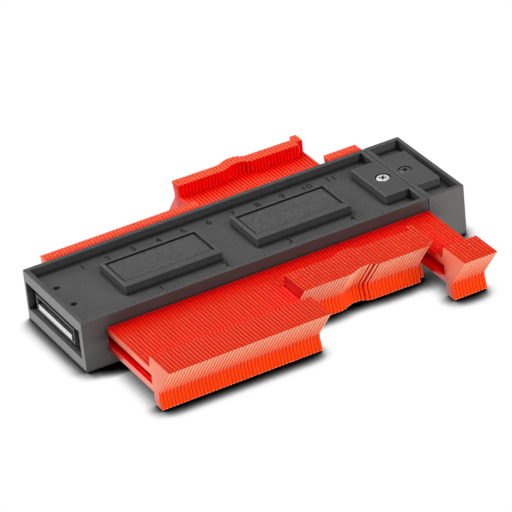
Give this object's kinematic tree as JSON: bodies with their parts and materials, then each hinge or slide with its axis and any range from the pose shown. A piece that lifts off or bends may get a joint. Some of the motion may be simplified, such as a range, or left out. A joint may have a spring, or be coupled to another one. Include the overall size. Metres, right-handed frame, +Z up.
{
  "type": "contour gauge",
  "caption": "Contour gauge: a long flat housing holding a stack of thin sliding leaves whose pointed ends take up the outline of a profile.",
  "frame": {"origin": "centre of the housing's underside, on its resting face", "axes": "+X along the housing towards the screwed end cap, -Y towards the pointed leaf ends that lean up and forward, +Z up from the underside to the numbered face"},
  "size_m": [0.152, 0.1248, 0.0195],
  "materials": {
    "housing_plastic": "fine matte grain",
    "leaf_plastic": "semi-gloss",
    "bar_steel": "brushed",
    "strip_rubber": "matte",
    "pin_steel": "plain",
    "screw_zinc": "bright zinc",
    "screw_black": "black oxide",
    "insert_brass": "plain"
  },
  "bodies": {
    "frame": {"housing": "housing_plastic", "end_cap": "housing_plastic", "center_bar": "bar_steel", "friction_strip": "strip_rubber", "bar_pins": "pin_steel", "tongue_screw": "screw_zinc", "cap_screw": "screw_black", "tongue_insert": "insert_brass", "cap_insert": "insert_brass"},
    "leaves_01": {"leaves_01": "leaf_plastic"},
    "leaves_02": {"leaves_02": "leaf_plastic"},
    "leaves_03": {"leaves_03": "leaf_plastic"},
    "leaves_04": {"leaves_04": "leaf_plastic"},
    "leaves_05": {"leaves_05": "leaf_plastic"},
    "leaves_06": {"leaves_06": "leaf_plastic"},
    "leaves_07": {"leaves_07": "leaf_plastic"},
    "leaves_08": {"leaves_08": "leaf_plastic"},
    "leaves_09": {"leaves_09": "leaf_plastic"},
    "leaves_10": {"leaves_10": "leaf_plastic"},
    "leaves_11": {"leaves_11": "leaf_plastic"},
    "leaves_12": {"leaves_12": "leaf_plastic"},
    "leaves_13": {"leaves_13": "leaf_plastic"},
    "leaves_14": {"leaves_14": "leaf_plastic"},
    "leaves_15": {"leaves_15": "leaf_plastic"},
    "leaves_16": {"leaves_16": "leaf_plastic"},
    "leaves_17": {"leaves_17": "leaf_plastic"},
    "leaves_18": {"leaves_18": "leaf_plastic"},
    "leaves_19": {"leaves_19": "leaf_plastic"},
    "leaves_20": {"leaves_20": "leaf_plastic"},
    "leaves_21": {"leaves_21": "leaf_plastic"},
    "leaves_22": {"leaves_22": "leaf_plastic"},
    "leaves_23": {"leaves_23": "leaf_plastic"},
    "leaves_24": {"leaves_24": "leaf_plastic"},
    "leaves_25": {"leaves_25": "leaf_plastic"},
    "leaves_26": {"leaves_26": "leaf_plastic"},
    "leaves_27": {"leaves_27": "leaf_plastic"},
    "leaves_28": {"leaves_28": "leaf_plastic"},
    "leaves_29": {"leaves_29": "leaf_plastic"},
    "leaves_30": {"leaves_30": "leaf_plastic"},
    "leaves_31": {"leaves_31": "leaf_plastic"},
    "leaves_32": {"leaves_32": "leaf_plastic"},
    "leaves_33": {"leaves_33": "leaf_plastic"},
    "leaves_34": {"leaves_34": "leaf_plastic"},
    "leaves_35": {"leaves_35": "leaf_plastic"},
    "leaves_36": {"leaves_36": "leaf_plastic"},
    "leaves_37": {"leaves_37": "leaf_plastic"},
    "leaves_38": {"leaves_38": "leaf_plastic"},
    "leaves_39": {"leaves_39": "leaf_plastic"},
    "leaves_40": {"leaves_40": "leaf_plastic"},
    "leaves_41": {"leaves_41": "leaf_plastic"},
    "leaves_42": {"leaves_42": "leaf_plastic"},
    "leaves_43": {"leaves_43": "leaf_plastic"},
    "leaves_44": {"leaves_44": "leaf_plastic"},
    "leaves_45": {"leaves_45": "leaf_plastic"},
    "leaves_46": {"leaves_46": "leaf_plastic"},
    "leaves_47": {"leaves_47": "leaf_plastic"},
    "leaves_48": {"leaves_48": "leaf_plastic"}
  },
  "joints": [
    {"name": "slide_01", "type": "slide", "parent": "frame", "child": "leaves_01", "axis": [0, 1, 0], "range_m": [0, 0.03025]},
    {"name": "slide_02", "type": "slide", "parent": "frame", "child": "leaves_02", "axis": [0, 1, 0], "range_m": [0, 0.03025]},
    {"name": "slide_03", "type": "slide", "parent": "frame", "child": "leaves_03", "axis": [0, 1, 0], "range_m": [0, 0.03025]},
    {"name": "slide_04", "type": "slide", "parent": "frame", "child": "leaves_04", "axis": [0, 1, 0], "range_m": [0, 0.03025]},
    {"name": "slide_05", "type": "slide", "parent": "frame", "child": "leaves_05", "axis": [0, 1, 0], "range_m": [0, 0.03025]},
    {"name": "slide_06", "type": "slide", "parent": "frame", "child": "leaves_06", "axis": [0, 1, 0], "range_m": [0, 0.03025]},
    {"name": "slide_07", "type": "slide", "parent": "frame", "child": "leaves_07", "axis": [0, 1, 0], "range_m": [0, 0.03025]},
    {"name": "slide_08", "type": "slide", "parent": "frame", "child": "leaves_08", "axis": [0, 1, 0], "range_m": [0, 0.03025]},
    {"name": "slide_09", "type": "slide", "parent": "frame", "child": "leaves_09", "axis": [0, 1, 0], "range_m": [0, 0.03025]},
    {"name": "slide_10", "type": "slide", "parent": "frame", "child": "leaves_10", "axis": [0, 1, 0], "range_m": [0, 0.03025]},
    {"name": "slide_11", "type": "slide", "parent": "frame", "child": "leaves_11", "axis": [0, 1, 0], "range_m": [0, 0.03025]},
    {"name": "slide_12", "type": "slide", "parent": "frame", "child": "leaves_12", "axis": [0, 1, 0], "range_m": [0, 0.03025]},
    {"name": "slide_13", "type": "slide", "parent": "frame", "child": "leaves_13", "axis": [0, 1, 0], "range_m": [0, 0.03025]},
    {"name": "slide_14", "type": "slide", "parent": "frame", "child": "leaves_14", "axis": [0, 1, 0], "range_m": [0, 0.03025]},
    {"name": "slide_15", "type": "slide", "parent": "frame", "child": "leaves_15", "axis": [0, 1, 0], "range_m": [0, 0.03025]},
    {"name": "slide_16", "type": "slide", "parent": "frame", "child": "leaves_16", "axis": [0, 1, 0], "range_m": [0, 0.03025]},
    {"name": "slide_17", "type": "slide", "parent": "frame", "child": "leaves_17", "axis": [0, 1, 0], "range_m": [0, 0.03025]},
    {"name": "slide_18", "type": "slide", "parent": "frame", "child": "leaves_18", "axis": [0, 1, 0], "range_m": [0, 0.03025]},
    {"name": "slide_19", "type": "slide", "parent": "frame", "child": "leaves_19", "axis": [0, 1, 0], "range_m": [0, 0.03025]},
    {"name": "slide_20", "type": "slide", "parent": "frame", "child": "leaves_20", "axis": [0, 1, 0], "range_m": [0, 0.03025]},
    {"name": "slide_21", "type": "slide", "parent": "frame", "child": "leaves_21", "axis": [0, 1, 0], "range_m": [0, 0.03025]},
    {"name": "slide_22", "type": "slide", "parent": "frame", "child": "leaves_22", "axis": [0, 1, 0], "range_m": [0, 0.03025]},
    {"name": "slide_23", "type": "slide", "parent": "frame", "child": "leaves_23", "axis": [0, 1, 0], "range_m": [0, 0.03025]},
    {"name": "slide_24", "type": "slide", "parent": "frame", "child": "leaves_24", "axis": [0, 1, 0], "range_m": [-0.01817, 0.01206]},
    {"name": "slide_25", "type": "slide", "parent": "frame", "child": "leaves_25", "axis": [0, 1, 0], "range_m": [-0.01812, 0.01211]},
    {"name": "slide_26", "type": "slide", "parent": "frame", "child": "leaves_26", "axis": [0, 1, 0], "range_m": [-0.01807, 0.01215]},
    {"name": "slide_27", "type": "slide", "parent": "frame", "child": "leaves_27", "axis": [0, 1, 0], "range_m": [-0.01803, 0.0122]},
    {"name": "slide_28", "type": "slide", "parent": "frame", "child": "leaves_28", "axis": [0, 1, 0], "range_m": [-0.01798, 0.01225]},
    {"name": "slide_29", "type": "slide", "parent": "frame", "child": "leaves_29", "axis": [0, 1, 0], "range_m": [-0.01793, 0.01229]},
    {"name": "slide_30", "type": "slide", "parent": "frame", "child": "leaves_30", "axis": [0, 1, 0], "range_m": [-0.01791, 0.01234]},
    {"name": "slide_31", "type": "slide", "parent": "frame", "child": "leaves_31", "axis": [0, 1, 0], "range_m": [-0.01827, 0.01137]},
    {"name": "slide_32", "type": "slide", "parent": "frame", "child": "leaves_32", "axis": [0, 1, 0], "range_m": [-0.01951, 0.01032]},
    {"name": "slide_33", "type": "slide", "parent": "frame", "child": "leaves_33", "axis": [0, 1, 0], "range_m": [-0.01995, 0.01028]},
    {"name": "slide_34", "type": "slide", "parent": "frame", "child": "leaves_34", "axis": [0, 1, 0], "range_m": [-0.01848, 0.01082]},
    {"name": "slide_35", "type": "slide", "parent": "frame", "child": "leaves_35", "axis": [0, 1, 0], "range_m": [-0.01796, 0.01227]},
    {"name": "slide_36", "type": "slide", "parent": "frame", "child": "leaves_36", "axis": [0, 1, 0], "range_m": [-0.01791, 0.01232]},
    {"name": "slide_37", "type": "slide", "parent": "frame", "child": "leaves_37", "axis": [0, 1, 0], "range_m": [-0.01786, 0.01236]},
    {"name": "slide_38", "type": "slide", "parent": "frame", "child": "leaves_38", "axis": [0, 1, 0], "range_m": [-0.01782, 0.01241]},
    {"name": "slide_39", "type": "slide", "parent": "frame", "child": "leaves_39", "axis": [0, 1, 0], "range_m": [-0.01777, 0.01246]},
    {"name": "slide_40", "type": "slide", "parent": "frame", "child": "leaves_40", "axis": [0, 1, 0], "range_m": [-0.01773, 0.0125]},
    {"name": "slide_41", "type": "slide", "parent": "frame", "child": "leaves_41", "axis": [0, 1, 0], "range_m": [-0.01768, 0.01255]},
    {"name": "slide_42", "type": "slide", "parent": "frame", "child": "leaves_42", "axis": [0, 1, 0], "range_m": [-0.01766, 0.01259]},
    {"name": "slide_43", "type": "slide", "parent": "frame", "child": "leaves_43", "axis": [0, 1, 0], "range_m": [-0.02001, 0.01022]},
    {"name": "slide_44", "type": "slide", "parent": "frame", "child": "leaves_44", "axis": [0, 1, 0], "range_m": [0, 0.03025]},
    {"name": "slide_45", "type": "slide", "parent": "frame", "child": "leaves_45", "axis": [0, 1, 0], "range_m": [0, 0.03025]},
    {"name": "slide_46", "type": "slide", "parent": "frame", "child": "leaves_46", "axis": [0, 1, 0], "range_m": [0, 0.03025]},
    {"name": "slide_47", "type": "slide", "parent": "frame", "child": "leaves_47", "axis": [0, 1, 0], "range_m": [0, 0.03025]},
    {"name": "slide_48", "type": "slide", "parent": "frame", "child": "leaves_48", "axis": [0, 1, 0], "range_m": [0, 0.03025]}
  ]
}
